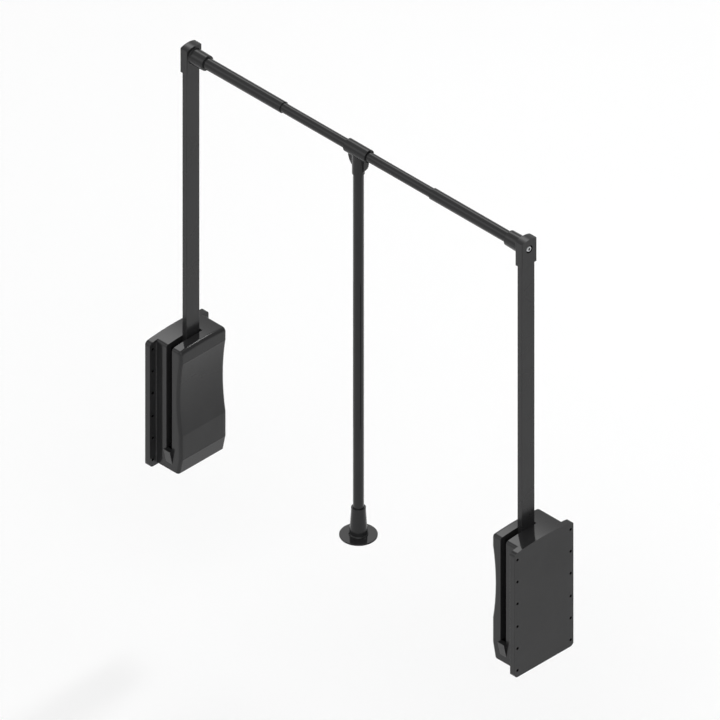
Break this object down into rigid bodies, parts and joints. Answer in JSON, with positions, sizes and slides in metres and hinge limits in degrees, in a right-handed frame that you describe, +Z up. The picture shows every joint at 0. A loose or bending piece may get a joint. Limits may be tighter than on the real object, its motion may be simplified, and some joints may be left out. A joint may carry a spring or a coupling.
{
  "type": "pull down closet rod",
  "caption": "Spring-assisted arms with a telescopic hanging rail that swings forward and down out of a wardrobe, drawn by a hanging pole with a grip.",
  "frame": {"origin": "centre of the screw holes on the left plate's wall face", "axes": "+X from the left wall towards the right wall, along the rail; +Y towards the wardrobe's back, so the arms swing towards -Y; +Z up"},
  "size_m": [0.89, 0.142, 0.8645],
  "materials": {
    "black_housing": "polished black moulded plastic",
    "black_fitting": "polished black moulded plastic",
    "black_arm": "gloss black paint on a flat steel tube",
    "black_rail": "gloss black plating on round steel tube",
    "bush_black": "black slide bush",
    "damper_black": "black damper housing",
    "rubber": "black rubber buffer",
    "bright_screw": "bright zinc-plated screw",
    "plain_steel": "plain zinc-plated steel",
    "die_cast": "bare pressed steel",
    "spring_steel": "oiled spring wire",
    "white_bush": "natural bearing plastic"
  },
  "bodies": {
    "left_casing": {"left_wall_plate": "black_housing", "left_cover": "black_housing", "left_arm_rest": "black_housing", "left_rest_buffer": "rubber", "left_inner_cheek": "plain_steel", "left_cheek_posts": "plain_steel", "left_cheek_screws": "bright_screw", "left_pivot_bushes": "white_bush", "left_rotary_damper": "damper_black", "left_damper_screws": "bright_screw", "left_spring_seat": "plain_steel", "left_lift_spring": "spring_steel"},
    "left_pusher": {"left_spring_pusher": "die_cast"},
    "swing": {"left_pivot_shaft": "plain_steel", "left_arm_tube": "black_arm", "left_arm_foot": "plain_steel", "left_arm_hub": "plain_steel", "left_crank_plate": "plain_steel", "left_crank_pin": "plain_steel", "left_crank_roller": "white_bush", "left_crank_rivets": "plain_steel", "left_top_bracket": "black_fitting", "left_rail_screw": "bright_screw", "left_rail_nut": "plain_steel", "left_outer_tube": "black_rail", "left_slide_bush": "bush_black"},
    "right_casing": {"right_wall_plate": "black_housing", "right_cover": "black_housing", "right_arm_rest": "black_housing", "right_rest_buffer": "rubber", "right_inner_cheek": "plain_steel", "right_cheek_posts": "plain_steel", "right_cheek_screws": "bright_screw", "right_pivot_bushes": "white_bush", "right_rotary_damper": "damper_black", "right_damper_screws": "bright_screw", "right_spring_seat": "plain_steel", "right_lift_spring": "spring_steel"},
    "right_pusher": {"right_spring_pusher": "die_cast"},
    "right_arm": {"right_pivot_shaft": "plain_steel", "right_arm_tube": "black_arm", "right_arm_foot": "plain_steel", "right_arm_hub": "plain_steel", "right_crank_plate": "plain_steel", "right_crank_pin": "plain_steel", "right_crank_roller": "white_bush", "right_crank_rivets": "plain_steel", "right_top_bracket": "black_fitting", "right_rail_screw": "bright_screw", "right_rail_nut": "plain_steel", "right_outer_tube": "black_rail", "right_slide_bush": "bush_black"},
    "rail_middle": {"centre_tube": "black_rail"},
    "pull_pole": {"tee_sleeve": "black_fitting", "tee_screw": "bright_screw", "pole_tube": "black_rail", "grip_bell": "black_fitting", "grip_disc": "black_fitting", "grip_screw": "bright_screw"}
  },
  "joints": [
    {"name": "pull_down", "type": "hinge", "parent": "left_casing", "child": "swing", "pos_m": [0.0416, -0.002, -0.05496], "axis": [1, 0, 0], "range_deg": [0, 100], "stiffness_Nm_per_rad": 12, "springref_deg": -34.38},
    {"name": "width_adjust", "type": "slide", "parent": "left_casing", "child": "right_casing", "axis": [1, 0, 0], "range_m": [-0.06, 0.26]},
    {"name": "left_push", "type": "slide", "parent": "left_casing", "child": "left_pusher", "axis": [0, 0, 1], "range_m": [0, 0.037], "deforming": ["left_lift_spring"]},
    {"name": "right_push", "type": "slide", "parent": "right_casing", "child": "right_pusher", "axis": [0, 0, 1], "range_m": [0, 0.037], "deforming": ["right_lift_spring"]},
    {"name": "right_reach", "type": "slide", "parent": "swing", "child": "right_arm", "axis": [1, 0, 0], "range_m": [-0.06, 0.26]},
    {"name": "middle_reach", "type": "slide", "parent": "swing", "child": "rail_middle", "axis": [1, 0, 0], "range_m": [-0.03, 0.13]},
    {"name": "pole_swing", "type": "hinge", "parent": "rail_middle", "child": "pull_pole", "pos_m": [0.445, -0.002, 0.7155], "axis": [1, 0, 0], "continuous": true}
  ],
  "couplings": [
    {"joint": "left_push", "follows": "pull_down", "m_per_rad": 0.021068},
    {"joint": "right_push", "follows": "pull_down", "m_per_rad": 0.021068},
    {"joint": "right_reach", "follows": "width_adjust", "ratio": 1},
    {"joint": "middle_reach", "follows": "width_adjust", "ratio": 0.5}
  ]
}
